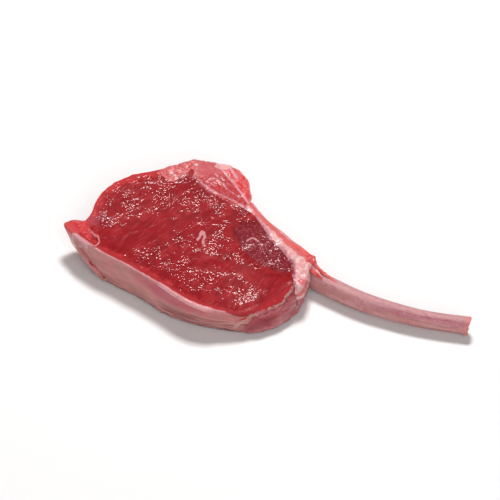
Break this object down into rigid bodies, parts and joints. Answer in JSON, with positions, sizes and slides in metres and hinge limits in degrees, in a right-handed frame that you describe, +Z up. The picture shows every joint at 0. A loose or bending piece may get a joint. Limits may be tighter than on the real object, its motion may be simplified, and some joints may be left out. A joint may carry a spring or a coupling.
{
  "type": "raw lamb chop",
  "caption": "Raw lamb rib chop lying flat: a thick oval slice of loin with its fat and silverskin edge, on a long curved rib bone scraped bare.",
  "frame": {"origin": "middle of the bounding box, at the underside that the chop rests on", "axes": "+X along the chop's length, from the thin tip of the meat towards the sawn end of the rib; +Y across it, towards the sawn head of the rib; +Z up, out of the cut face"},
  "size_m": [0.1622, 0.082, 0.0175],
  "materials": {
    "lean_meat": "raw lean lamb at a fresh cut, deep red, wet and glossy, finely marbled",
    "rib_side_meat": "raw trimmings beside the bone, bright salmon red, wet, streaked with pale fat",
    "cap_meat": "thin cap muscle under its skin, rose purple, moist and satin",
    "white_fat": "raw fat, pale pink to white, lumpy and waxy",
    "silverskin": "silverskin and thin fat on the outer side, rose to tan, moist and satin",
    "scraped_bone": "rib bone scraped bare, rose pink under its thin skin, moist and satin"
  },
  "bodies": {
    "root": {"loin_eye": "lean_meat", "fat_cover": "silverskin", "tip_flap": "rib_side_meat", "top_fat": "white_fat", "back_muscle": "rib_side_meat", "chine_trim": "rib_side_meat", "rib_meat": "rib_side_meat", "seam_fat": "white_fat", "fat_knuckle": "white_fat", "cap_muscle": "cap_meat", "rib_bone": "scraped_bone"}
  },
  "joints": []
}
